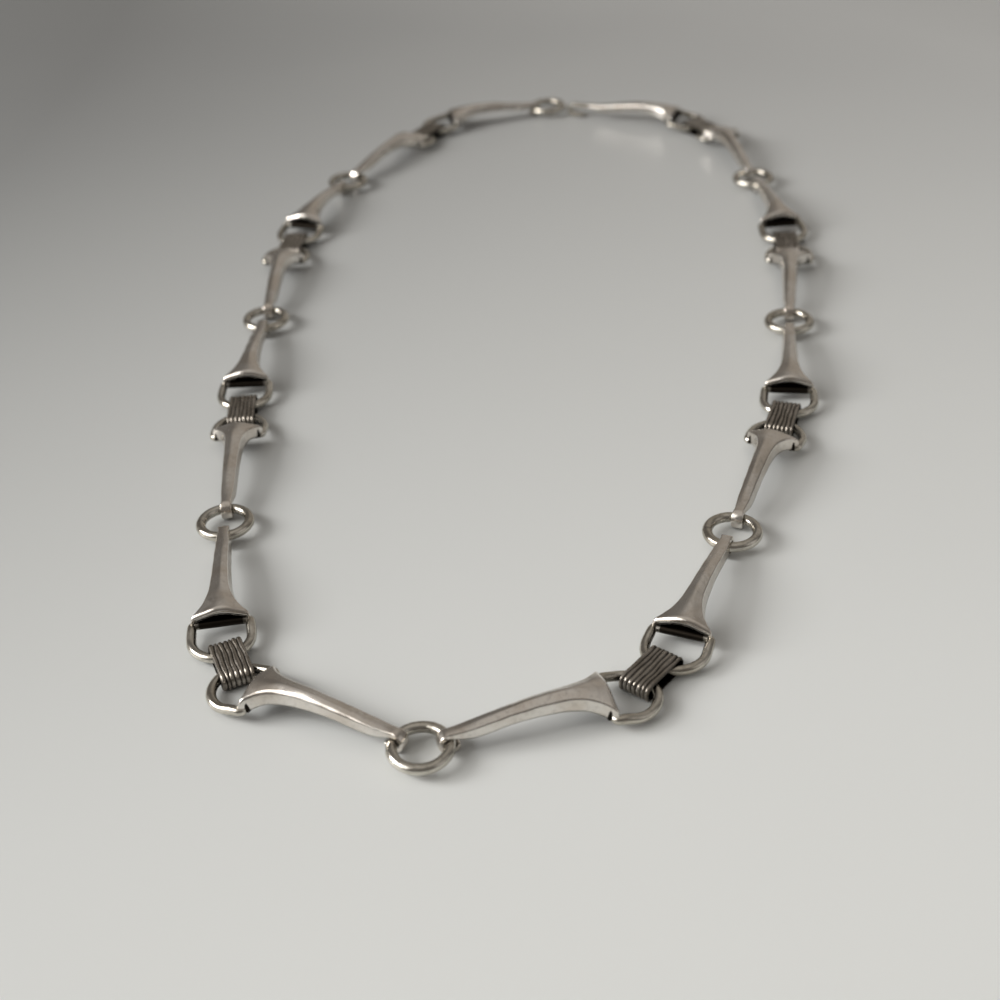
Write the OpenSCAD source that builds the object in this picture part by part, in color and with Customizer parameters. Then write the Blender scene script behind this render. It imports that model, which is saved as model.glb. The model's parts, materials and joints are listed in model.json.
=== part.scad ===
// Horse-bit link necklace, closed and lying flat on a table.
// Millimetres. +Z is up. The origin is the centre of the front ring, and the
// clasp lies behind it near the +Y axis. The middle plane of the rings is z = 0.
//
// The chain runs both ways from the front ring in four equal lengths. Each
// length is ring, bit, strap, bit, ring. A bit is a hollow trumpet-shaped bar:
// its thin end is curled into an eye around a ring, and its flared end carries
// a soldered D-shaped loop (a dee). A strap is a closed band of soldered wires
// that joins two dees. The last bit on the right has a spring hook instead of
// an eye, and the hook closes the chain at the last ring on the left.

/* [Rings] */
// Diameter of the round wire of the rings
ring_wire_d = 1.3; // [1.1:0.05:1.4]
// Outside diameter of a ring
ring_od = 7.5; // [7.2:0.1:8.5]

/* [Bits] */
// Length from the centre of the eye to the edge of the flared lip
bit_length = 17.75; // [17:0.05:18.5]
// Half width of a bit beside the eye, before the tip is narrowed
waist_half = 0.95; // [0.9:0.05:1.1]
// How much each half is narrowed at the eye
tip_cut = 0.18; // [0:0.02:0.2]
// Growth of the half width over the whole length, before the flare
taper_half = 0.48; // [0.3:0.02:0.6]
// Extra half width of the flared lip
flare_half = 2.2; // [1.8:0.1:2.3]
// Sharpness of the flare: a higher number keeps it closer to the lip
flare_power = 9; // [6:1:12]
// Height of the ridge above the middle plane at the eye
ridge_eye = 1.31; // [1.2:0.01:1.4]
// Rise of the ridge per millimetre from the eye towards the middle
ridge_rise = 0.18; // [0.15:0.01:0.2]
// Greatest height of the ridge above the middle plane
ridge_top = 2.98; // [2.8:0.02:3.1]
// Height of the ridge above the middle plane at the lip
ridge_lip = 2.65; // [2.5:0.05:2.8]
// Fall of the ridge per millimetre towards the lip
ridge_fall = 0.105; // [0.08:0.005:0.13]
// Fall of the gable per millimetre out from the ridge
gable_slope = 0.4; // [0.3:0.02:0.42]
// Sideways offset of the ridge from the centre line
ridge_shift = 0.15; // [0:0.05:0.25]
// Thickness of the top wall over the hollow
top_wall = 0.65; // [0.5:0.05:0.7]
// Thickness of the side walls of the hollow
side_wall = 0.45; // [0.35:0.05:0.5]
// Highest point of the lower edge, about half way along
hem_top = 1.2; // [1.0:0.05:1.25]

/* [Eyes] */
// Bore radius of the curled eye
eye_bore_r = 0.8; // [0.78:0.01:0.85]
// Outside radius of the curled eye
eye_outer_r = 1.4; // [1.3:0.05:1.4]
// Width of the curled eye
eye_width = 1.5; // [1.4:0.05:1.54]

/* [Dees] */
// Diameter of the round wire of the dees
dee_wire_d = 1.2; // [1.1:0.05:1.25]
// Radius of the dee's arc at the centre of the wire
dee_r = 3.5; // [3.4:0.05:3.6]
// Distance from the lip edge out to the centre of the dee's arc
dee_reach = 2.0; // [1.8:0.05:2.2]
// Distance from the lip edge back to the centre of the dee's straight bar
bar_back = 0.35; // [0.3:0.05:0.5]
// How far the dees and straps lie below the middle plane of the rings
dee_drop = 0.32; // [0.3:0.01:0.34]

/* [Straps] */
// Number of wires side by side in a strap
strap_wires = 7; // [5:1:8]
// Width of a strap
strap_width = 3.9; // [3.6:0.1:4.0]
// Thickness of the strap's band
strap_band = 0.35; // [0.3:0.01:0.4]
// Inside height of the strap's loop
strap_gap = 1.5; // [1.5:0.02:1.6]
// Half of the inside length of the strap's loop
strap_inner_half = 3.3; // [3.2:0.05:3.4]
// Distance between the two dee wires inside a strap, centre to centre
wire_spacing = 2.7; // [2.6:0.05:2.8]
// Width of the groove between two wires of a strap
groove_w = 0.12; // [0.08:0.02:0.16]
// Depth of the groove between two wires of a strap
groove_depth = 0.15; // [0.1:0.01:0.18]

/* [Clasp] */
// Distance from the end point of the last bit out to the nose of its hook
hook_out = 5.5; // [5.2:0.1:6]
// Gap between the hook's nose and the ring that it catches
clasp_gap = 0.98; // [0.6:0.02:1.6]
// Thickness of the hook's spring strip
hook_t = 0.5; // [0.4:0.05:0.55]
// Width of the hook's spring strip
hook_w = 1.5; // [1.3:0.05:1.6]
// Inside height of the hook
hook_gap = 1.45; // [1.4:0.05:1.6]

/* [Drape] */
// Heading of each bit and strap on the left, from the front ring back to the last strap, in degrees from +X
left_run = [158, 118, 103, 99, 99, 95, 94, 88, 78, 64, 63]; // one number per piece: bit, strap, bit
// Heading of each bit and strap on the right, from the front ring back to the last strap, in degrees from +X
right_run = [22, 56, 72, 73, 76, 86, 86, 92, 100, 105, 129]; // one number per piece: bit, strap, bit

/* [Hidden] */
$fn = 48;

silver = [0.76, 0.74, 0.71];
bright_silver = [0.83, 0.81, 0.78];
dark_silver = [0.45, 0.43, 0.40];

// Radius of a ring at the centre of its wire
ring_r = (ring_od - ring_wire_d) / 2;
// From a ring's centre to the centre of the dee's arc on a bit
reach = ring_r + bit_length + dee_reach;
// From one dee's arc centre to the next one's, across a strap
span = 2 * dee_r + wire_spacing;
// From the last dee's arc centre to the centre of the ring that the hook catches
clasp_reach = dee_reach + bit_length + hook_out + clasp_gap + ring_od / 2;

// ---------------------------------------------------------------- path
// The path of a side stops at ring, dee, dee, ring, dee, dee, ring and so on.

function direction(heading) = [cos(heading), sin(heading)];
function step_length(i) = i % 3 == 2 ? span : reach;
function stop(headings, i) =
    i == 0 ? [0, 0]
           : stop(headings, i - 1) + step_length(i) * direction(headings[i - 1]);
function heading_between(start, end) = atan2(end[1] - start[1], end[0] - start[0]);

// The last bit of each side closes the loop. They are two sides of a triangle
// whose third side joins the far ends of the last left and right straps.
left_end = stop(left_run, 11);
right_end = stop(right_run, 11);
end_gap = norm(right_end - left_end);
left_angle = acos((reach * reach + end_gap * end_gap - clasp_reach * clasp_reach)
                  / (2 * reach * end_gap));
left_last = heading_between(left_end, right_end) + left_angle;
catch_ring = left_end + reach * direction(left_last);
left_headings = concat(left_run, [left_last]);
right_headings = concat(right_run, [heading_between(right_end, catch_ring)]);

// Puts a child at a path point, turned to a heading, on the middle plane
module at(point, heading) {
    translate([point[0], point[1], 0]) rotate([0, 0, heading]) children();
}

// Puts a child at ring m of a side, counted from the front ring
module at_ring(headings, m) {
    at(stop(headings, 3 * m), headings[3 * m - 1]) children();
}

// Puts a child with its origin at the eye of bit k (1 to 8) of a side, and
// with +X pointing from the eye to the lip. Odd bits point away from the front.
module at_bit(headings, k) {
    odd = k % 2 == 1;
    ring_stop = odd ? 3 * (k - 1) / 2 : 3 * k / 2;
    heading = odd ? headings[ring_stop] : headings[ring_stop - 1] + 180;
    at(stop(headings, ring_stop) + ring_r * direction(heading), heading) children();
}

// Puts a child at the middle of strap m (1 to 4) of a side
module at_strap(headings, m) {
    middle = (stop(headings, 3 * m - 2) + stop(headings, 3 * m - 1)) / 2;
    at(middle, headings[3 * m - 2])
        translate([0, 0, -dee_drop]) children();
}

// Extrudes a side view (x, z) to a width centred on the y = 0 plane
module slice(width) {
    rotate([90, 0, 0]) linear_extrude(height = width, center = true) children();
}

// ---------------------------------------------------------------- ring
module ring_link() {
    color(silver)
    rotate_extrude() translate([ring_r, 0]) circle(d = ring_wire_d);
}

// ---------------------------------------------------------------- bit
tip_length = 2;          // length over which the tip is narrowed
ridge_half = 0.25;       // half width of the flat along the ridge
hollow_start = 2.6;      // distance from the eye to the hollow
hook_root_x = -1.0;      // inner end of the hook's strip
bar_end_x = hook_root_x + 0.01; // square end of the last bit, just clear of the strip

// The outline's stations crowd towards the lip
station_steps = 13;
station_crowding = 1.6;
first_step_min = 0.2;    // stations nearer than this to the outline's start are left out

// Lower edge of a bit from the eye to the lip: [x, z].
// It arches up between them and clears the dee's bar at the lip.
hem_start_z = -0.3;
lip_hem_z = dee_wire_d / 2 - dee_drop + 0.01;
hem = [
    [0.6, hem_start_z], [2.4, 0.4], [5.2, 0.8],
    [7, hem_top - 0.1], [10, hem_top], [12.5, hem_top - 0.05],
    [bit_length - 2.7, 0.85], [bit_length - 1.3, lip_hem_z], [bit_length, lip_hem_z]];

// Half width of a bit at a distance x from the eye
function half_width(x) =
    waist_half + taper_half * x / bit_length
    + (x > 0 ? flare_half * pow(x / bit_length, flare_power) : 0)
    - tip_cut * (1 - min(1, max(0, x) / tip_length));

function station(i) = bit_length * (1 - pow(1 - i / station_steps, station_crowding));

// Outline of a bit seen from above, drawn in by inset, from x = start to the
// lip and then straight on by overrun
module bit_outline(start, inset = 0, overrun = 0) {
    stations = [for (i = [0 : station_steps])
                if (station(i) > start + first_step_min) station(i)];
    side = concat(
        [for (x = concat([start], stations)) [x, half_width(x) - inset]],
        overrun > 0 ? [[bit_length + overrun, half_width(bit_length) - inset]] : []);
    mirrored = [for (i = [len(side) - 1 : -1 : 0]) [side[i][0], -side[i][1]]];
    polygon(concat(side, mirrored));
}

// Gabled bar, longer, wider and deeper than a bit, whose ridge passes through
// height z at distance x and climbs by rise per millimetre
module gable(x, z, rise) {
    half_length = 30;
    eave_y = 6;
    depth = 8;
    y_min = ridge_shift - ridge_half;
    y_max = ridge_shift + ridge_half;
    translate([x, 0, z]) rotate([0, -atan(rise), 0]) translate([-half_length, 0, 0])
    rotate([90, 0, 90])
    linear_extrude(height = 2 * half_length)
    polygon([[y_min, 0], [-eave_y, -(eave_y + y_min) * gable_slope], [-eave_y, -depth],
             [eave_y, -depth], [eave_y, -(eave_y - y_max) * gable_slope], [y_max, 0]]);
}

// The roof of a bit, lowered by drop: the ridge rises from the eye, runs level
// and falls to the lip, so three gables meet
module roof(drop = 0) {
    intersection() {
        gable(x = 0, z = ridge_eye - drop, rise = ridge_rise);
        gable(x = 0, z = ridge_top - drop, rise = 0);
        gable(x = bit_length, z = ridge_lip - drop, rise = -ridge_fall);
    }
}

// Side view of a bit above its lower edge, wider and taller than the bit
module side_profile(start) {
    top_z = 5;
    slice(12)
    polygon(concat([[start, hem_start_z]], hem, [[bit_length, top_z], [start, top_z]]));
}

// A bit along +X. With an eye it starts at the eye's centre; without one the
// bar runs on to a square end for the hook.
module bit_link(eyed = true) {
    start = eyed ? 0 : bar_end_x;
    difference() {
        union() {
            intersection() {
                translate([0, 0, -2]) linear_extrude(height = 7) bit_outline(start);
                roof();
                side_profile(start);
            }
            if (eyed) rotate([90, 0, 0]) cylinder(r = eye_outer_r, h = eye_width, center = true);
        }
        // Hollow, open below and through the lip
        intersection() {
            translate([0, 0, -3]) linear_extrude(height = 9)
                bit_outline(hollow_start, inset = side_wall, overrun = 1);
            roof(top_wall);
        }
        if (eyed) rotate([90, 0, 0]) cylinder(r = eye_bore_r, h = 8, center = true);
    }
}

// ---------------------------------------------------------------- dee
// The straight sides are a hair thinner and run a little into the arc,
// so that the wires join as one solid
side_wire_d = dee_wire_d - 0.01;
arc_overlap = 0.05;

module dee_link() {
    side_length = dee_reach + bar_back;
    color(silver)
    translate([bit_length + dee_reach, 0, -dee_drop]) {
        rotate([0, 0, -90])
            rotate_extrude(angle = 180) translate([dee_r, 0]) circle(d = dee_wire_d);
        for (side = [-1, 1]) {
            translate([-side_length, side * dee_r, 0]) rotate([0, 90, 0])
                cylinder(d = side_wire_d, h = side_length + arc_overlap);
            translate([-side_length, side * dee_r, 0]) sphere(d = dee_wire_d);
        }
        translate([-side_length, 0, 0]) rotate([90, 0, 0])
            cylinder(d = dee_wire_d, h = 2 * dee_r, center = true);
    }
}

// ---------------------------------------------------------------- strap
band_corner_r = 1.0;     // outside radius of the band's corners

// Side view of the strap's band, drawn in by inset: a box with rounded corners
module band_outline(inset) {
    half_x = strap_inner_half + strap_band - inset;
    half_z = strap_gap / 2 + strap_band - inset;
    corner_r = band_corner_r - inset;
    square([2 * (half_x - corner_r), 2 * half_z], center = true);
    square([2 * half_x, 2 * (half_z - corner_r)], center = true);
    for (side_x = [-1, 1]) for (side_z = [-1, 1])
        translate([side_x * (half_x - corner_r), side_z * (half_z - corner_r)])
            circle(r = corner_r);
}

module strap_link() {
    pitch = strap_width / strap_wires;
    color(dark_silver)
    difference() {
        slice(strap_width) band_outline(0);
        slice(strap_width + 1) band_outline(strap_band);
        // Grooves all round the outside, between neighbouring wires
        for (i = [1 : strap_wires - 1])
            translate([0, -strap_width / 2 + i * pitch, 0])
            slice(groove_w) difference() {
                square([12, 8], center = true);
                band_outline(groove_depth);
            }
    }
}

// ---------------------------------------------------------------- clasp
// Spring hook on the thin end of the last bit. Its strip runs out from the
// bar's end, turns down round the nose and comes back under itself.
return_end_x = -1.9;     // free end of the strip's lower run

// Side view of the hook, drawn in by inset and run on by overrun at its root
module hook_outline(inset = 0, overrun = 0) {
    half_z = hook_gap / 2 + hook_t - inset;
    nose_x = -hook_out + hook_gap / 2 + hook_t;
    translate([nose_x, 0]) circle(r = half_z);
    translate([nose_x, -half_z]) square([hook_root_x - nose_x + overrun, 2 * half_z]);
}

module hook_link() {
    cut_depth = 3;
    slice(hook_w) difference() {
        hook_outline();
        hook_outline(inset = hook_t, overrun = 1);
        translate([return_end_x, -cut_depth]) square([2, cut_depth + hook_gap / 2]);
    }
}

// ---------------------------------------------------------------- nodes
module front_ring() { at([0, 0], 0) ring_link(); }
module left_ring(m) { at_ring(left_headings, m) ring_link(); }
module right_ring(m) { at_ring(right_headings, m) ring_link(); }
module left_bit(k) { color(bright_silver) at_bit(left_headings, k) bit_link(); }
module right_bit(k) { color(bright_silver) at_bit(right_headings, k) bit_link(eyed = k < 8); }
module left_dee(k) { at_bit(left_headings, k) dee_link(); }
module right_dee(k) { at_bit(right_headings, k) dee_link(); }
module left_strap(m) { at_strap(left_headings, m) strap_link(); }
module right_strap(m) { at_strap(right_headings, m) strap_link(); }
module clasp_hook() { color(silver) at_bit(right_headings, 8) hook_link(); }

front_ring();
left_ring(1);  // left_ring_1
left_ring(2);  // left_ring_2
left_ring(3);  // left_ring_3
left_ring(4);  // left_ring_4
right_ring(1);  // right_ring_1
right_ring(2);  // right_ring_2
right_ring(3);  // right_ring_3
left_bit(1);  // left_bit_1
left_bit(2);  // left_bit_2
left_bit(3);  // left_bit_3
left_bit(4);  // left_bit_4
left_bit(5);  // left_bit_5
left_bit(6);  // left_bit_6
left_bit(7);  // left_bit_7
left_bit(8);  // left_bit_8
right_bit(1);  // right_bit_1
right_bit(2);  // right_bit_2
right_bit(3);  // right_bit_3
right_bit(4);  // right_bit_4
right_bit(5);  // right_bit_5
right_bit(6);  // right_bit_6
right_bit(7);  // right_bit_7
right_bit(8);  // right_bit_8
left_dee(1);  // left_dee_1
left_dee(2);  // left_dee_2
left_dee(3);  // left_dee_3
left_dee(4);  // left_dee_4
left_dee(5);  // left_dee_5
left_dee(6);  // left_dee_6
left_dee(7);  // left_dee_7
left_dee(8);  // left_dee_8
right_dee(1);  // right_dee_1
right_dee(2);  // right_dee_2
right_dee(3);  // right_dee_3
right_dee(4);  // right_dee_4
right_dee(5);  // right_dee_5
right_dee(6);  // right_dee_6
right_dee(7);  // right_dee_7
right_dee(8);  // right_dee_8
left_strap(1);  // left_strap_1
left_strap(2);  // left_strap_2
left_strap(3);  // left_strap_3
left_strap(4);  // left_strap_4
right_strap(1);  // right_strap_1
right_strap(2);  // right_strap_2
right_strap(3);  // right_strap_3
right_strap(4);  // right_strap_4
clasp_hook();
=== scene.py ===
"""A silver chain that lies flat in XY, with its front ring at the origin.

Two strands, left and right, run from the front ring. Each repeats bit, strap, bit, ring. A bit
is a hollow ridged bar: an eye at one end wraps a ring, and the wide lip at the other end holds
a dee. Each strap goes round two dees. The right strand ends in a hook, which faces the last
ring of the left strand.

Every piece is modelled in mm in its own frame, +X along the piece and +Z up. A bit's origin is
its eye and its lip is at +X. Its dee and its hook share its frame.
"""
import json
import math
import bmesh
import bpy
import numpy as np
from mathutils import Matrix, Vector


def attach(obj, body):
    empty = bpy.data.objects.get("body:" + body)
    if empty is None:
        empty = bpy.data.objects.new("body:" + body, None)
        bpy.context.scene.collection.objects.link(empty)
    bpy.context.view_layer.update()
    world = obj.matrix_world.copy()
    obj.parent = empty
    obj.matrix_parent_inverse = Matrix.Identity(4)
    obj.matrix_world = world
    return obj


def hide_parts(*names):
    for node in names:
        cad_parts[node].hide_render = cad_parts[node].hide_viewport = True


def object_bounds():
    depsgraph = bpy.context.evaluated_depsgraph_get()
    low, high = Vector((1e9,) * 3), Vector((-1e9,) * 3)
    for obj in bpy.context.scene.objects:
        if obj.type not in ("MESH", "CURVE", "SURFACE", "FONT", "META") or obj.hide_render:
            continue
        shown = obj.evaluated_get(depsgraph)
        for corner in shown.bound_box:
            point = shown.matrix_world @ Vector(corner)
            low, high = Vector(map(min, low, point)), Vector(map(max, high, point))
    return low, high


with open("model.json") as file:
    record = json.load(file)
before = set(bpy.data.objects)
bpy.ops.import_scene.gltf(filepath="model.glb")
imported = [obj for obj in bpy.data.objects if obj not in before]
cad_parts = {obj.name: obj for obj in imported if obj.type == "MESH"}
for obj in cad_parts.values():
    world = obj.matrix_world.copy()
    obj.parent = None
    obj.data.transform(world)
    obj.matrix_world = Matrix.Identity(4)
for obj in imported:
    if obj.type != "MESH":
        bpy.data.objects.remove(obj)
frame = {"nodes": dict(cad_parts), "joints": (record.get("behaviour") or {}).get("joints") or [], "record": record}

start_bounds = [[float(x) for x in c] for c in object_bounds()]
rng = np.random.default_rng(11)

# ------------------------------------------------------------------ driving sizes, mm
MM = 0.001
RING_RADIUS, RING_WIRE = 3.1, 0.65      # centre line and wire radius
BIT_LENGTH = 17.75                      # eye centre to lip
WALL = 0.42                             # sheet thickness of a bit
DEE_RADIUS, DEE_WIRE = 3.5, 0.6         # centre line of the bow and wire radius
DEE_REACH = 2.0                         # lip to the centre of the bow
DROP = 0.32                             # dees and straps lie this far below the bits
TURN = 2 * math.pi


# ------------------------------------------------------------------ where the pieces lie
joints = {joint["name"]: joint for joint in frame["joints"]}


def joint_place(name):
    return np.array(joints[name]["pos_m"][:2]) / MM


def joint_axis(name):
    return np.array(joints[name]["axis"][:2])


def unit(vector):
    return vector / np.linalg.norm(vector)


def find_places():
    """The (origin, direction of +X) of every ring, bit and strap, from the joints."""
    places = {"front_ring": (np.zeros(2), np.array([1.0, 0.0]))}
    for side in ("left", "right"):
        for m in (1, 2, 3, 4):
            first, second = f"{side}_bit_{2*m-1}", f"{side}_bit_{2*m}"
            strap, ring = f"{side}_strap_{m}", f"{side}_ring_{m}"
            ring_centre = joint_place(first + "_swing")
            axis = joint_axis(strap + "_tilt")
            along = np.array([-axis[1], axis[0]])
            near_dee = joint_place(strap + "_tilt") - DEE_RADIUS * along
            far_dee = joint_place(second + "_swing")
            heading = unit(near_dee - ring_centre)
            places[first] = (ring_centre + RING_RADIUS * heading, heading)
            places[strap] = ((near_dee + far_dee) / 2, unit(far_dee - near_dee))
            if ring + "_tilt" in joints:
                axis = joint_axis(ring + "_tilt")
                heading = unit(np.array([axis[1], -axis[0]]))
                eye = joint_place(ring + "_tilt")
                places[ring] = (eye + RING_RADIUS * heading, heading)
            else:
                # the bit with the hook points at the last ring of the left strand
                heading = unit(places["left_ring_4"][0] - far_dee)
                eye = far_dee + (DEE_REACH + BIT_LENGTH) * heading
            places[second] = (eye, -heading)
    return places


# ------------------------------------------------------------------ mesh helpers
def smooth(low, high, x):
    t = min(1.0, max(0.0, (x - low) / (high - low)))
    return t * t * (3 - 2 * t)


def soft_table(table, x, reach):
    """A two-column table read at x, averaged over five samples within +-reach."""
    xs, values = zip(*table)
    return sum(float(np.interp(x + o * reach, xs, values)) * .2 for o in (-1, -.5, 0, .5, 1))


def arc(centre, radius, start, turn, steps):
    """Stations (x, y, outward x, outward y) along an arc, both ends included."""
    angles = [start + turn * k / steps for k in range(steps + 1)]
    return [(centre[0] + radius * math.cos(a), centre[1] + radius * math.sin(a),
             math.cos(a), math.sin(a)) for a in angles]


def rounded(points, cuts, straight=5, curve=6):
    """A polyline with its inner corners rounded, always with the same number of points."""
    points = [np.array(p, float) for p in points]
    start = points[0]
    out = []
    for before, corner, after, cut in zip(points, points[1:], points[2:], cuts):
        back, ahead = before - corner, after - corner
        back_len, ahead_len = np.linalg.norm(back), np.linalg.norm(ahead)
        enter = corner + back / back_len * min(cut, back_len * .48)
        leave = corner + ahead / ahead_len * min(cut, ahead_len * .48)
        for k in range(straight):
            out.append(start + (enter - start) * k / straight)
        for k in range(curve):
            t = k / curve
            out.append((1 - t) ** 2 * enter + 2 * t * (1 - t) * corner + t * t * leave)
        start = leave
    for k in range(straight + 1):
        out.append(start + (points[-1] - start) * k / straight)
    return np.array(out)


def arch(foot, shoulder, ridge, shoulder_cut, ridge_cut):
    """A rounded arch through (y, z) corners; foot and shoulder repeat on the -y side."""
    corners = [(-foot[0], foot[1]), (-shoulder[0], shoulder[1]), ridge, shoulder, foot]
    return rounded(corners, [shoulder_cut, ridge_cut, shoulder_cut])


def grid_faces(rows, cols, base=0, wrap_rows=False, wrap_cols=False):
    faces = []
    for i in range(rows if wrap_rows else rows - 1):
        for j in range(cols if wrap_cols else cols - 1):
            a, b = base + i * cols, base + (i + 1) % rows * cols
            k = (j + 1) % cols
            faces.append((a + j, a + k, b + k, b + j))
    return faces


def shell_faces(rows, cols, base=0):
    """Two grids of vertices, one after the other, joined round their edges."""
    other = base + rows * cols
    faces = grid_faces(rows, cols, base)
    faces += [tuple(reversed(face)) for face in grid_faces(rows, cols, other)]
    for i in range(rows - 1):
        a = i * cols
        faces.append((base + a, base + a + cols, other + a + cols, other + a))
        a += cols - 1
        faces.append((base + a, other + a, other + a + cols, base + a + cols))
    for j in range(cols - 1):
        faces.append((base + j, other + j, other + j + 1, base + j + 1))
        a = (rows - 1) * cols + j
        faces.append((base + a, base + a + 1, other + a + 1, other + a))
    return faces


def tube(path, radii, sides):
    """A closed wire along a closed path; column 0 of each row is on the outside."""
    verts = []
    for i, (x, y, z) in enumerate(path):
        before, after = path[i - 1], path[(i + 1) % len(path)]
        along = unit(np.array([after[0] - before[0], after[1] - before[1]]))
        for k in range(sides):
            t = TURN * k / sides
            out = radii[i] * math.cos(t)
            verts.append((x + along[1] * out, y - along[0] * out, z + radii[i] * math.sin(t)))
    return verts, grid_faces(len(path), sides, 0, True, True)


def inner_side(k, sides):
    """How far side k of a tube faces inward, 0 to 1."""
    return max(0, -math.cos(TURN * k / sides)) ** 2


def add_piece(node_name, suffix, place, z, slot, verts, faces, dark, rim=None):
    """Builds one closed mesh, puts it in place, parents it to its body and hides the part it stands in for.

    dark is how much oxide each vertex has, with painted shade in the plates and dee bars behind the lips; rim how
    much it belongs to a polished lip.
    """
    name = node_name + suffix
    mesh = bpy.data.meshes.new(name)
    mesh.from_pydata([tuple(float(c) * MM for c in v) for v in verts], [], faces)
    mesh.update()
    for key, values in (("dark", dark), ("rim", rim or [0.0] * len(verts))):
        attribute = mesh.attributes.new(key, "FLOAT", "POINT")
        attribute.data.foreach_set("value", np.array(values, np.float32))
    bm = bmesh.new()
    bm.from_mesh(mesh)
    bmesh.ops.recalc_face_normals(bm, faces=bm.faces)
    bm.to_mesh(mesh)
    bm.free()
    mesh.polygons.foreach_set("use_smooth", [True] * len(mesh.polygons))
    mesh.materials.append(silvers[slot])
    ob = bpy.data.objects.new(name, mesh)
    bpy.context.scene.collection.objects.link(ob)
    origin, along = place
    ob.matrix_world = Matrix((
        (along[0], -along[1], 0, origin[0] * MM),
        (along[1], along[0], 0, origin[1] * MM),
        (0, 0, 1, z * MM),
        (0, 0, 0, 1)))
    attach(ob, body_of[node_name])
    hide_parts(node_name)


# ------------------------------------------------------------------ bits
# Each table: (x along the bit, height in mm).
RIDGE = [   # top of the ridge
    (-1, 1.36), (0, 1.38), (1, 1.43), (2.4, 1.64), (3.8, 1.92), (6, 2.33), (8, 2.70),
    (9.4, 2.9), (10.8, 3.0), (12.2, 3.04), (14.5, 3.0), (16.4, 2.86), (17.75, 2.65), (19, 2.5)]
HEM = [     # lower edge of the sides
    (-1, .80), (0.2, .80), (1, .58), (2.0, .40), (3.0, .42), (3.8, .50), (5.2, .80),
    (6.6, 1.05), (8, 1.2), (10.8, 1.25), (12.2, 1.2), (13.6, 1.05), (15, .82), (16.0, .48),
    (16.75, .14), (17.75, -.04), (19, -.04)]
SHOULDER_DROP = [   # ridge down to the shoulders
    (-1, .05), (0, .06), (1, .1), (2.4, .16), (3.8, .22), (6.6, .30), (8, .42), (10.8, .46),
    (13.6, .50), (15, .60), (16.4, .85), (17.0, 1.0), (17.75, 1.22), (19, 1.3)]

LIP_STATIONS = ((0, .34), (.11, .19), (.26, .07), (.42, 0.0))   # (distance from lip, bevel)
BAR_STEPS = ((13.5, .34), (3.2, .62), (.05, .3))                # (down to this x, step)
STUB_STATIONS = ((-.3, 0.0), (-.6, 0.0), (-.9, 0.0), (-.97, .06))   # (x, bevel), no eye
EYE_ANGLES = [90 + 8 * k for k in range(31)] + [334, 337]       # degrees, 90 is the top
EYE_INNER, EYE_OUTER = .815, 1.385                              # radii of the eye
EYE_HALF_WIDTH = .735


def half_width(x):
    flare = 2.56 * (max(0, x) / BIT_LENGTH) ** 9
    return .95 + .48 * x / BIT_LENGTH + flare - .2 * (1 - min(1, max(0, x) / 2.2))


def bit_section(x, wide, soft, bevel=0.0):
    """Outer and inner rows of (y, z) across the bit at x.

    wide scales the width, soft rounds the shoulders.
    """
    half = half_width(x) * wide - bevel
    ridge = soft_table(RIDGE, x, .5) - bevel
    shoulder = ridge + bevel - soft_table(SHOULDER_DROP, x, .4) - bevel * .7
    hem = soft_table(HEM, x, .35)
    flare = smooth(13.2, 17.6, x)
    shoulder_y = half * (.80 + .10 * flare) - .02
    if x > 16.4:
        shoulder_y = half * (.9 + .035 * smooth(16.4, BIT_LENGTH, x)) - .02
    ridge_y = .14 * smooth(1.5, 4, x)
    ridge_cut = .34 + .95 * flare + .25 * (1 - smooth(.5, 4, x))
    shoulder_cut = .17 + .12 * soft * smooth(2, 6, x) + .1 * flare
    outer = arch((half, hem), (shoulder_y, shoulder), (ridge_y, ridge), shoulder_cut, ridge_cut)

    # the bar is hollow towards the lip and closes to a thick flat strip towards the eye
    hollow = smooth(1.2, 3.6, x)
    ceiling = ridge - (.56 + .30 * smooth(16.2, BIT_LENGTH, x))
    in_half = max(half - (WALL - bevel * .5), .22) * hollow + (half - .10) * (1 - hollow)
    in_hem = hem * hollow + ceiling * (1 - hollow)
    in_shoulder = (shoulder - WALL) * hollow + (ceiling + .02) * (1 - hollow)
    inner = arch((in_half, in_hem),
                 (max(shoulder_y - .33, .15), max(in_shoulder, in_hem + .03)),
                 (ridge_y, ceiling + bevel), shoulder_cut * .8, ridge_cut)
    return outer, inner


def hammered(outer, x, phase):
    """The outer row with the slight unevenness of a hammered surface."""
    k = smooth(1.5, 4, x)
    wave = .022 * k * (math.sin(x * .9 + phase[0]) + .6 * math.sin(x * 2.1 + phase[1]))
    return outer + np.column_stack([.012 * k * np.sin(outer[:, 1] * 5 + x * 1.7 + phase[2]),
                                    wave * np.cos(outer[:, 0] * 1.6 + phase[3])])


def bar_rows(wide, soft, phase):
    """(x, outer row, inner row) from the lip back to the eye."""
    stations = [(BIT_LENGTH - back, bevel) for back, bevel in LIP_STATIONS]
    x = BIT_LENGTH - .55
    for stop, step in BAR_STEPS:
        while x > stop:
            stations.append((x, 0.0))
            x -= step
    rows = []
    for x, bevel in stations:
        outer, inner = bit_section(x, wide, soft, bevel)
        outer = hammered(outer, x, phase)
        rows.append((x, [(x, y, z) for y, z in outer], [(x, y, z) for y, z in inner]))
    return rows


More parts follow.
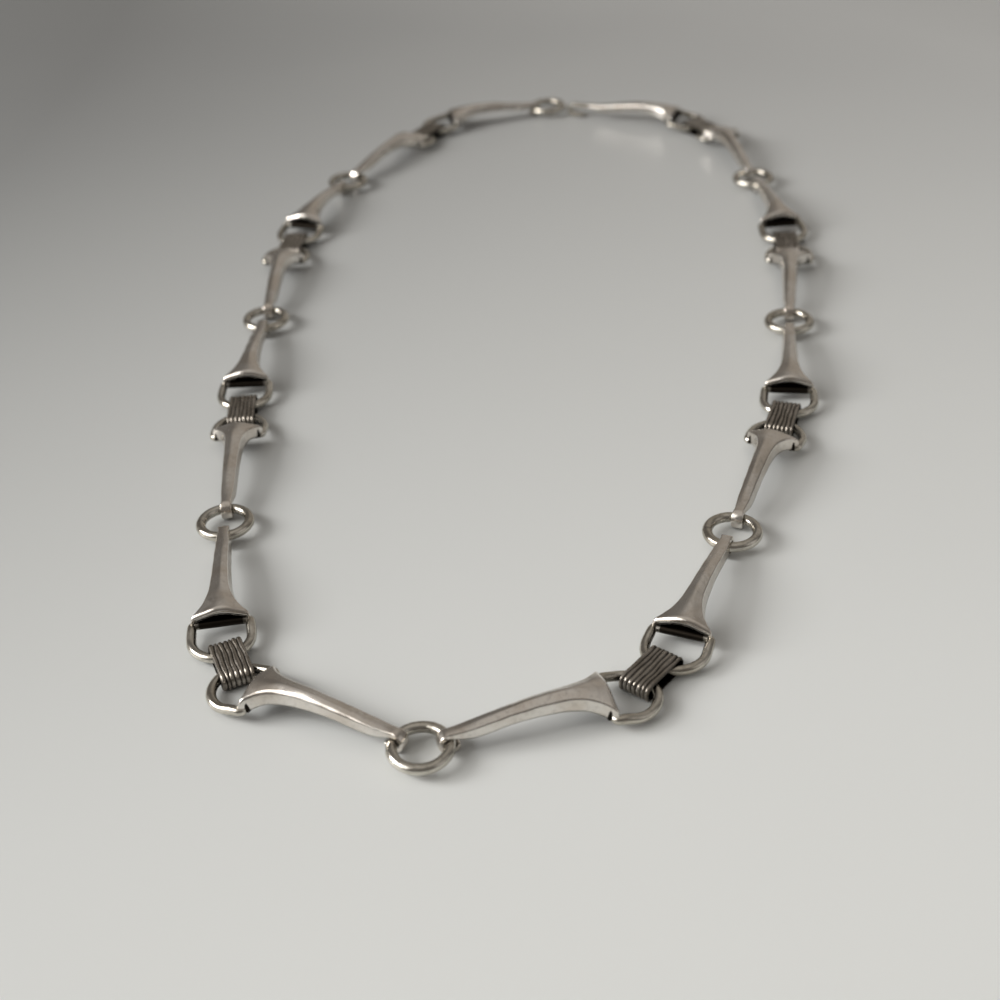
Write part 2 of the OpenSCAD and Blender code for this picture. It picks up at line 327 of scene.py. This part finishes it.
def eye_rows(wide, soft):
    """The strip curled over and under the ring wire; each row's heights become radii."""
    bar_outer, bar_inner = bit_section(0.0, wide, soft)
    rows = []
    for degrees in EYE_ANGLES:
        angle = math.radians(degrees)
        tip = smooth(318, 337, degrees)
        radius = EYE_OUTER - .12 * tip
        # the strip narrows a little where it goes under the wire
        half = EYE_HALF_WIDTH * (1 - .06 * smooth(150, 330, degrees) - .10 * tip)
        outer = arch((half, EYE_INNER + .04), (half - .02, radius - .06), (0, radius), .14, .5)
        inner = arch((half - .08, EYE_INNER + .02), (half * .6, EYE_INNER), (0, EYE_INNER),
                     .1, .3)
        curl = smooth(90, 120, degrees)
        outer = bar_outer * (1 - curl) + outer * curl
        inner = bar_inner * (1 - curl) + inner * curl
        inner[:, 1] = np.maximum(inner[:, 1], .80)
        rows.append([[(r * math.cos(angle), y, r * math.sin(angle)) for y, r in row]
                     for row in (outer, inner)])
    return rows


def stub_rows(wide, soft):
    """The short straight end of the bit that carries the hook."""
    return [[[(x, y, z) for y, z in row] for row in bit_section(0.0, wide, soft, bevel)]
            for x, bevel in STUB_STATIONS]


def inside_dark(row, x):
    """Oxide on the inner face: little at the lip, full in the hollow."""
    if row <= 1:
        return .12
    if x <= 0:
        return .55
    if x < 2:
        return .6
    return .25 + .75 * smooth(0, 3, BIT_LENGTH - x)


def plate_verts(wide, soft, phase, rows=6, thick=.45):
    """The plate that closes the hollow just behind the lip, near black: oxide with painted shade."""
    profile = bit_section(BIT_LENGTH - .3, wide, soft)[1]
    hump_y = rng.uniform(-.5, .5)
    verts = []
    for back in (0.0, thick):
        for row in range(rows):
            t = row / (rows - 1)
            for y, z in profile:
                low = (.02 + .045 * abs(y) + .13 * math.exp(-((y - hump_y) / .55) ** 2)
                       + .03 * math.sin(3 * y + phase[4]))
                top = max(z + .06, low + .03)
                bulge = .07 * math.sin(math.pi * t) + .012 * math.sin(9 * y + 4 * t + phase[5])
                verts.append((BIT_LENGTH - .36 - .34 * t - back - bulge * (1 - back),
                              y * (1 + .012 * (1 - t)), top + (low - top) * t))
    return verts, shell_faces_at(rows, len(profile))


def shell_faces_at(rows, cols):
    """Shell faces as a function of the first vertex's index."""
    return lambda base: shell_faces(rows, cols, base)


def bit_mesh(eyed, wide, soft):
    phase = [rng.uniform(0, 6.28) for _ in range(6)]
    rows = bar_rows(wide, soft, phase)
    # the end rows count as x = 0 for the shading
    ends = eye_rows(wide, soft) if eyed else stub_rows(wide, soft)
    rows += [(0.0, outer, inner) for outer, inner in ends]
    cols = len(rows[0][1])
    verts = [v for _, outer, _ in rows for v in outer] + [v for _, _, inner in rows for v in inner]
    faces = shell_faces(len(rows), cols)
    rim = [smooth(BIT_LENGTH - .5, BIT_LENGTH - .02, x) for x, _, _ in rows for _ in range(cols)]
    dark = [0.0] * len(rim)
    dark += [inside_dark(i, x) for i, (x, _, _) in enumerate(rows) for _ in range(cols)]
    plate, plate_faces = plate_verts(wide, soft, phase)
    faces += plate_faces(len(verts))
    verts += plate
    # the plate is fully dark: oxide plus painted shade where the hollow lies in shadow
    dark += [1.0] * len(plate)
    rim += [0.0] * (len(verts) - len(rim))
    return verts, faces, dark, rim


# ------------------------------------------------------------------ rings
def ring_mesh(seam, stations=80, sides=18):
    """A slightly uneven wire ring with a soldered seam at the angle seam."""
    phase, phase_2 = rng.uniform(0, 6.28, 2)
    path, radii, dark = [], [], []
    for i in range(stations):
        a = TURN * i / stations
        r = RING_RADIUS + .022 * math.sin(2 * a + phase) + .01 * math.sin(3 * a + phase_2)
        path.append((r * math.cos(a), r * math.sin(a), .012 * math.sin(2 * a + phase_2)))
        away = abs((a - seam + math.pi) % TURN - math.pi)
        # a low swelling at the seam with a fine groove in it
        radii.append(RING_WIRE * (.985 + .03 * math.exp(-(away / .10) ** 2)
                                  - .025 * math.exp(-(away / .028) ** 2)
                                  + .006 * math.sin(5 * a + phase)))
        dark += [min(1, .35 * inner_side(k, sides) + .6 * math.exp(-(away / .03) ** 2))
                 for k in range(sides)]
    return *tube(path, radii, sides), dark


# ------------------------------------------------------------------ dees
def dee_outline(bar_x):
    """(x, y) round the dee: bow, +y side, straight bar inside the lip, -y side."""
    half_bar, corner = 3.43, .42
    bow_x = BIT_LENGTH + DEE_REACH
    corner_x, corner_y = bar_x + corner, half_bar - corner
    sides = [(bow_x + (corner_x - bow_x) * k / 9,
              DEE_RADIUS + (half_bar - DEE_RADIUS) * smooth(0, 1, k / 9)) for k in range(1, 9)]
    outline = arc((bow_x, 0), DEE_RADIUS, -math.pi / 2, math.pi, 44)
    outline += sides
    outline += arc((corner_x, corner_y), corner, math.pi / 2, math.pi / 2, 5)
    outline += [(bar_x, corner_y * (1 - 2 * k / 12)) for k in range(1, 12)]
    outline += arc((corner_x, -corner_y), corner, math.pi, math.pi / 2, 5)
    outline += [(x, -y) for x, y in reversed(sides)]
    return [point[:2] for point in outline]


def dee_mesh(sides=16):
    """The wire leaves the lip's corners at the lip's own height and comes down to the strap."""
    lip = BIT_LENGTH
    outline = dee_outline(bar_x=lip - .34)
    phase = rng.uniform(0, 6.28)
    path, radii, dark = [], [], []
    for i, (x, y) in enumerate(outline):
        y *= 1 + .003 * math.sin(i * .12 + phase)
        path.append((x, y, .46 * (1 - smooth(lip - .1, lip + 3.1, x))))
        radii.append(DEE_WIRE * (.985 + .012 * math.sin(i * .31 + phase))
                     * (1 - .12 * (1 - smooth(lip - .3, lip + .9, x))))
        # darkest along the bar under the lip, oxide plus painted shade, and on the inner side of the wire beyond
        # the lip
        bar = (1 - smooth(lip - .2, lip + .3, x)) * (1 - smooth(2.75, 3.1, abs(y)))
        beyond = smooth(lip + .1, lip + 2.2, x) * (1 - smooth(lip + 2.2, lip + 5, x))
        dark += [min(1, (.46 + .25 * beyond) * inner_side(k, sides) + bar)
                 for k in range(sides)]
    return *tube(path, radii, sides), dark


# ------------------------------------------------------------------ straps
STRAP_WIDTH, STRAP_WIRES = 3.9, 7
STRAP_HALF_LENGTH, STRAP_HALF_HEIGHT, STRAP_CORNER = 3.65, 1.1, 1.0


def strap_loop():
    """Stations (x, z, outward x, outward z) round the strap, seen from its side."""
    mid_x, mid_z = STRAP_HALF_LENGTH - STRAP_CORNER, STRAP_HALF_HEIGHT - STRAP_CORNER

    def corner(x, z, start):
        return arc((x, z), STRAP_CORNER, start, math.pi / 2, 8)

    def straight(side):
        return [(side * (mid_x - 2 * mid_x * k / 12), side * STRAP_HALF_HEIGHT, 0, side)
                for k in range(1, 12)]

    return (corner(mid_x, mid_z, 0) + straight(1)
            + corner(-mid_x, mid_z, math.pi / 2) + corner(-mid_x, -mid_z, math.pi)
            + straight(-1) + corner(mid_x, -mid_z, 1.5 * math.pi))


def strap_mesh(wire_steps=8):
    """Seven wires side by side, bent round into one closed band."""
    width, wires = STRAP_WIDTH, STRAP_WIRES
    wire_jitter = rng.uniform(-1, 1, (wires, 6))
    groove_phase = rng.uniform(0, 6.28, (wires + 1, 3))
    loop = strap_loop()
    last = wires * wire_steps
    verts, dark = [], []
    for x, z, out_x, out_z in loop:
        end = abs(out_x)
        top = (1 - end) * (1 if out_z > 0 else 0)
        under = out_z < -.5
        edges = [-width / 2 + width * k / wires for k in range(wires + 1)]
        for k in range(1, wires):
            edges[k] += (.075 * math.sin(x * .75 + groove_phase[k, 0])
                         + .04 * math.sin(x * 2.1 + groove_phase[k, 1])) * (.3 if under else 1)
        # outer face: u runs from -1 to 1 across each wire
        for j in range(last + 1):
            wire = min(wires - 1, j // wire_steps)
            t = (j - wire * wire_steps) / wire_steps
            y = edges[wire] + (edges[wire + 1] - edges[wire]) * t
            u = t * 2 - 1
            jitter = wire_jitter[wire]
            crown = .36 * (math.sqrt(1 - .93 * u * u) - 1)
            lift = .035 * jitter[0] * top + .05 * end * jitter[2 if x > 0 else 3] - .04 * end
            lift = min(lift, .0 if under else .03)
            wave = .018 * math.sin(x * 1.1 + jitter[4] * 3) * top
            out = crown + (lift + wave) * math.sqrt(1 - u * u)
            verts.append((x + out_x * out, y, z + out_z * out))
            groove = .9 if j in (0, last) else smooth(.42, .90, abs(u))
            dark.append(max(groove, .22 * end))
        # inner face, nearly flat, runs back from +y to -y
        for j in range(wires * 2 + 1):
            depth = .345 - (.03 if j % 2 else 0.0)
            y = width / 2 - .05 - (width - .1) * j / (wires * 2)
            verts.append((x - out_x * depth, y, z - out_z * depth))
            dark.append(1.0)
    cols = last + 1 + wires * 2 + 1
    return verts, grid_faces(len(loop), cols, 0, True, True), dark


# ------------------------------------------------------------------ hook
def hook_mesh():
    """A flat strip that runs out along -X, bends down round the nose and comes back below."""
    thick, width, gap, reach = .5, 1.5, 1.45, 5.5
    upper_end, lower_end = -1.0, -1.95
    edge = .12                          # rounding of the strip's edges
    bend = gap / 2 + thick / 2
    nose = -reach + gap / 2 + thick     # centre of the bend

    # stations: (x, z, outward x, outward z, width factor)
    path = [(upper_end + (nose - upper_end) * k / 8, bend, 0, 1, 1) for k in range(8)]
    path += [(*station, 1 - .10 * math.sin(math.pi * k / 20))
             for k, station in enumerate(arc((nose, 0), bend, math.pi / 2, math.pi, 20))]
    path += [(nose + (lower_end - nose) * k / 7, -bend, 0, -1, 1 - .16 * smooth(3, 7, k))
             for k in range(1, 8)]

    section = []
    for quarter, (side_y, side_n) in enumerate(((1, 1), (-1, 1), (-1, -1), (1, -1))):
        centre = (side_y * (width / 2 - edge), side_n * (thick / 2 - edge))
        section += [p[:2] for p in arc(centre, edge, quarter * math.pi / 2, math.pi / 2, 3)]

    verts = [(x + out_x * n, y * factor, z + out_z * n)
             for x, z, out_x, out_z, factor in path for y, n in section]
    rows, cols = len(path), len(section)
    faces = grid_faces(rows, cols, wrap_cols=True)
    faces.append(tuple(reversed(range(cols))))
    faces.append(tuple((rows - 1) * cols + k for k in range(cols)))
    return verts, faces, [0.1] * len(verts)


# ------------------------------------------------------------------ shader helpers
class Graph:
    """Adds nodes to a node tree; every value may be a number, a tuple or a socket."""

    def __init__(self, tree):
        self.tree = tree

    def add(self, kind, **settings):
        node = self.tree.nodes.new(kind)
        for key, value in settings.items():
            setattr(node, key, value)
        return node

    def feed(self, socket, value):
        if isinstance(value, bpy.types.NodeSocket):
            self.tree.links.new(value, socket)
        elif isinstance(value, tuple) and socket.type == "RGBA":
            socket.default_value = (*value, 1)
        else:
            socket.default_value = value

    def math(self, operation, a, b, clamp=False):
        node = self.add("ShaderNodeMath", operation=operation, use_clamp=clamp)
        self.feed(node.inputs[0], a)
        self.feed(node.inputs[1], b)
        return node.outputs[0]

    def times(self, a, b, clamp=False):
        return self.math("MULTIPLY", a, b, clamp)

    def remap(self, value, low, high, to_low=0, to_high=1):
        """Smooth step from to_low at low to to_high at high."""
        node = self.add("ShaderNodeMapRange", interpolation_type="SMOOTHSTEP")
        for i, v in enumerate((value, low, high, to_low, to_high)):
            self.feed(node.inputs[i], v)
        return node.outputs[0]

    def mix(self, factor, a, b, mode="MIX"):
        node = self.add("ShaderNodeMix", data_type="RGBA", blend_type=mode)
        for i, v in ((0, factor), (6, a), (7, b)):
            self.feed(node.inputs[i], v)
        return node.outputs[2]

    def mapping(self, vector, **inputs):
        node = self.add("ShaderNodeMapping")
        self.feed(node.inputs["Vector"], vector)
        for key, value in inputs.items():
            self.feed(node.inputs[key], value)
        return node.outputs[0]

    def noise(self, vector, scale, detail, roughness=.55, distortion=0.0):
        node = self.add("ShaderNodeTexNoise")
        self.feed(node.inputs["Vector"], vector)
        for key, value in (("Scale", scale), ("Detail", detail), ("Roughness", roughness),
                           ("Distortion", distortion)):
            self.feed(node.inputs[key], value)
        return node.outputs[0]


def new_material(name):
    material = bpy.data.materials.new(name)
    material.use_nodes = True
    return material, Graph(material.node_tree), material.node_tree.nodes["Principled BSDF"]


# ------------------------------------------------------------------ silver
MARK_COLOR = (.10, .085, .07)       # scratches and pits
OXIDE_GAIN = 1.0


def object_mm(g):
    """Object coordinates in mm, shifted by a random amount for every object."""
    coords = g.add("ShaderNodeTexCoord").outputs["Object"]
    random_value = g.add("ShaderNodeObjectInfo").outputs["Random"]
    combine = g.add("ShaderNodeCombineXYZ")
    for socket in combine.inputs:
        g.feed(socket, random_value)
    shift = g.add("ShaderNodeVectorMath", operation="MULTIPLY")
    g.feed(shift.inputs[0], combine.outputs[0])
    g.feed(shift.inputs[1], (97, 53, 71))
    return g.mapping(coords, Scale=(1000, 1000, 1000), Location=shift.outputs[0])


def silver(name, base, warm, oxide, rough, marks, tarnish):
    """Worn silver: base and warm tones, dark oxide, rough (low, high), mark and tarnish gain."""
    material, g, bsdf = new_material(name)
    coords = object_mm(g)
    along = g.mapping(coords, Scale=(.22, 4.2, 4.2))
    slanted = g.mapping(coords, Scale=(.5, 2.2, 3.0), Rotation=(0, 0, .7))
    big = g.noise(coords, scale=.28, detail=3)
    mid = g.noise(coords, scale=1.6, detail=4)
    fine = g.noise(coords, scale=9.0, detail=3)
    streaks = g.noise(along, scale=1.0, detail=5, roughness=.6)
    cross = g.noise(slanted, scale=2.4, detail=4, roughness=.6, distortion=.3)
    pits = g.remap(g.noise(coords, scale=3.4, detail=2, roughness=.5), low=.75, high=.80)
    scratches = g.math("MAXIMUM", g.remap(streaks, low=.66, high=.74),
                       g.remap(cross, low=.69, high=.74))
    dark = g.add("ShaderNodeAttribute", attribute_name="dark").outputs["Fac"]
    rim = g.add("ShaderNodeAttribute", attribute_name="rim").outputs["Fac"]

    # two silver tones, then tarnish, then scratches and pits
    color = g.mix(g.remap(big, low=.35, high=.68), base, warm)
    tarnished = g.times(g.remap(mid, low=.48, high=.72), tarnish)
    color = g.mix(tarnished, color, tuple(c * .52 for c in warm))
    mark = g.math("MAXIMUM", g.times(scratches, .38 * marks), g.times(pits, .6 * marks))
    color = g.mix(mark, color, MARK_COLOR)

    # oxide in the dark parts and in the crevices, with painted shade in the plates and dee bars behind the lips,
    # patchy except where it is deepest
    crevice = g.add("ShaderNodeAmbientOcclusion", samples=4)
    g.feed(crevice.inputs["Distance"], .0009)
    occluded = g.remap(crevice.outputs["AO"], low=.25, high=.85, to_low=1, to_high=0)
    oxide_and_shade = g.math("MAXIMUM", g.times(dark, OXIDE_GAIN), g.times(occluded, .5))
    patches = g.remap(mid, low=.3, high=.62, to_low=1.0, to_high=.72)
    oxide_and_shade = g.times(oxide_and_shade, patches, clamp=True)
    oxide_and_shade = g.math("MAXIMUM", oxide_and_shade, g.remap(dark, low=.86, high=1.0))
    g.feed(bsdf.inputs["Base Color"], g.mix(oxide_and_shade, color, oxide))
    g.feed(bsdf.inputs["Metallic"], 1.0)

    # oxide and marks are rougher, the lip is smoother
    roughness = g.remap(mid, low=.3, high=.7, to_low=rough[0], to_high=rough[1])
    roughness = g.math("ADD", roughness, g.times(oxide_and_shade, .22))
    roughness = g.math("ADD", roughness, g.times(mark, .3))
    roughness = g.math("SUBTRACT", roughness, g.times(rim, .05), clamp=True)
    g.feed(bsdf.inputs["Roughness"], roughness)

    height = g.math("ADD", g.times(streaks, .5), g.times(mid, .5))
    height = g.math("ADD", height, g.times(fine, .10))
    height = g.math("SUBTRACT", height, g.times(mark, .5))
    bump = g.add("ShaderNodeBump")
    for key, value in (("Strength", .3), ("Distance", .00005), ("Height", height)):
        g.feed(bump.inputs[key], value)
    g.feed(bsdf.inputs["Normal"], bump.outputs[0])
    return material


silvers = {
    "bit_silver": silver("bit_silver", base=(.80, .765, .715), warm=(.70, .64, .57),
                         oxide=(.016, .013, .010), rough=(.15, .27), marks=.6, tarnish=.22),
    "wire_silver": silver("wire_silver", base=(.66, .63, .565), warm=(.50, .46, .39),
                          oxide=(.022, .018, .014), rough=(.13, .24), marks=.5, tarnish=.40),
    "strap_silver": silver("strap_silver", base=(.46, .42, .37), warm=(.33, .295, .25),
                           oxide=(.008, .007, .006), rough=(.22, .34), marks=.6, tarnish=.5),
}

# ------------------------------------------------------------------ build every piece
body_of = {name: body for body, names in frame["record"]["behaviour"]["bodies"].items()
           for name in names}
places = find_places()
for name in sorted(frame["nodes"]):
    if "hook" in name:
        add_piece(name, "_strip", places["right_bit_8"], 0, "wire_silver", *hook_mesh())
    elif "ring" in name:
        seam = rng.uniform(1.2, 1.9) * (1 if rng.random() < .5 else -1)
        add_piece(name, "_wire", places[name], 0, "wire_silver", *ring_mesh(seam))
    elif "dee" in name:
        place = places[name.replace("dee", "bit")]
        add_piece(name, "_wire", place, -DROP, "wire_silver", *dee_mesh())
    elif "strap" in name:
        add_piece(name, "_wires", places[name], -DROP, "strap_silver", *strap_mesh())
    elif "bit" in name:
        wide = 1 + rng.uniform(-.012, .008)
        soft = rng.uniform(.2, 1.0)
        if name == "left_bit_1":
            soft = 1.6
        mesh = bit_mesh(name != "right_bit_8", wide, soft)
        add_piece(name, "_sheet", places[name], 0, "bit_silver", *mesh)


# ------------------------------------------------------------------ floor
def floor_material():
    material, g, bsdf = new_material("floor")
    position = g.add("ShaderNodeNewGeometry").outputs["Position"]
    split = g.add("ShaderNodeSeparateXYZ")
    g.feed(split.inputs[0], position)
    x, y = split.outputs[0], split.outputs[1]
    # painted light falloff: the table's colour darkens from front to back
    color = g.mix(g.remap(y, low=-.03, high=.26), (.804, .824, .816), (.349, .354, .352))
    # painted shade darkening the left side of the table
    left = g.remap(x, low=-.13, high=.02, to_low=.28, to_high=0)
    color = g.mix(left, color, (.388, .394, .393))
    blotches = g.noise(position, scale=9, detail=2)
    color = g.mix(g.remap(blotches, low=.3, high=.7, to_high=.10), color, (.60, .605, .58))

    # painted light falloff on top: brightness, a polynomial in u (left to right) and v (front to back), both 0 to
    # 1:
    # darker to the back left and lighter to the back right
    u = g.times(g.math("ADD", x, .2), 2.5, clamp=True)
    v = g.times(g.math("ADD", y, .1), 2.0, clamp=True)
    uv, uu, vv = g.times(u, v), g.times(u, u), g.times(v, v)
    shade = g.math("ADD", g.times(u, 1.0), .79)
    for term, gain in ((v, -1.8), (uv, 1.16), (uu, -.55), (vv, 1.11), (g.times(uv, v), 1.08)):
        shade = g.math("ADD", shade, g.times(term, gain))
    shade = g.math("MAXIMUM", g.math("MINIMUM", shade, 1.4), .55)
    painted_shade_color = g.add("ShaderNodeVectorMath", operation="SCALE")
    g.feed(painted_shade_color.inputs[0], color)
    g.feed(painted_shade_color.inputs["Scale"], shade)
    for key, value in (("Base Color", painted_shade_color.outputs[0]), ("Roughness", .34),
                       ("Specular IOR Level", .34), ("IOR", 1.5)):
        g.feed(bsdf.inputs[key], value)
    return material


def add_floor(half=3.0):
    """A square in metres, level with the lowest point of the chain."""
    low = min(c[2] for c in start_bounds)
    mesh = bpy.data.meshes.new("floor")
    corners = ((-half, -half), (half, -half), (half, half), (-half, half))
    mesh.from_pydata([(x, y, low) for x, y in corners], [], [(0, 1, 2, 3)])
    floor = bpy.data.objects.new("floor", mesh)
    bpy.context.scene.collection.objects.link(floor)
    mesh.materials.append(floor_material())


add_floor()

# ------------------------------------------------------------------ light
AMBIENT = (.15, .14, .13)
# Soft round patches of sky: direction, angle of full light, angle of no light, colour.
SKY_PATCHES = [
    ((-.66, -.38, .64), 12, 24, (1.7, 1.67, 1.62)),
    ((-.82, -.36, .40), 12, 28, (1.2, 1.18, 1.15)),
    ((.30, .85, .42), 8, 40, (.20, .185, .165)),
    ((-.05, .02, 1.0), 12, 46, (.30, .285, .265)),
    ((.85, -.2, .45), 10, 30, (.35, .34, .33)),
]


def add_world():
    world = bpy.data.worlds.new("studio")
    bpy.context.scene.world = world
    world.use_nodes = True
    g = Graph(world.node_tree)
    view = g.add("ShaderNodeTexCoord").outputs["Generated"]
    sky = AMBIENT
    for direction, inner, outer, color in SKY_PATCHES:
        dot = g.add("ShaderNodeVectorMath", operation="DOT_PRODUCT")
        g.feed(dot.inputs[0], view)
        g.feed(dot.inputs[1], Vector(direction).normalized())
        inside = g.remap(dot.outputs["Value"], low=math.cos(math.radians(outer)),
                         high=math.cos(math.radians(inner)))
        sky = g.mix(1.0, sky, g.mix(inside, (0, 0, 0), color), "ADD")
    background = world.node_tree.nodes["Background"]
    g.feed(background.inputs[0], sky)
    g.feed(background.inputs[1], 1.0)


def add_area(name, direction, distance, size, power):
    """A rectangular light, in metres and watts, aimed at the middle of the chain."""
    light = bpy.data.lights.new(name, "AREA")
    light.shape = "RECTANGLE"
    light.size, light.size_y = size
    light.energy = power
    light.color = (1, .985, .965)
    ob = bpy.data.objects.new(name, light)
    bpy.context.scene.collection.objects.link(ob)
    target = Vector((0, .09, 0))
    ob.location = target + Vector(direction).normalized() * distance
    ob.rotation_euler = (target - ob.location).to_track_quat("-Z", "Y").to_euler()


add_world()
add_area("window", direction=(-.85, -.12, .45), distance=.62, size=(.22, .24), power=2.6)
add_area("front_left", direction=(-.66, -.36, .66), distance=.7, size=(.14, .26), power=.55)


# ------------------------------------------------------------------ camera
def add_camera(location, yaw, pitch, roll, focus_distance):
    """Angles in degrees: yaw turns left from +Y, pitch looks down."""
    yaw, pitch, roll = (math.radians(a) for a in (yaw, pitch, roll))
    level = Vector((math.cos(yaw), math.sin(yaw), 0))
    forward = Vector((-math.sin(yaw) * math.cos(pitch), math.cos(yaw) * math.cos(pitch),
                      -math.sin(pitch)))
    upright = level.cross(forward)
    right = math.cos(roll) * level - math.sin(roll) * upright
    up = math.sin(roll) * level + math.cos(roll) * upright
    camera = bpy.data.cameras.new("camera")
    camera.sensor_width = 36
    camera.lens = 52.2
    camera.clip_start, camera.clip_end = .005, 10
    focus = bpy.data.objects.new("focus", None)
    focus.location = Vector(location) + forward * focus_distance
    bpy.context.scene.collection.objects.link(focus)
    camera.dof.use_dof = True
    camera.dof.focus_object = focus
    camera.dof.aperture_fstop = 28
    ob = bpy.data.objects.new("camera", camera)
    bpy.context.scene.collection.objects.link(ob)
    matrix = Matrix((right, up, -forward)).transposed().to_4x4()
    matrix.translation = Vector(location)
    ob.matrix_world = matrix
    bpy.context.scene.camera = ob


add_camera(location=(.0243642, -.1070576, .1078565), yaw=7.55491, pitch=35.15549,
           roll=3.98925, focus_distance=.172)
bpy.context.scene.view_settings.view_transform = "Standard"
bpy.context.scene.view_settings.exposure = 0.0
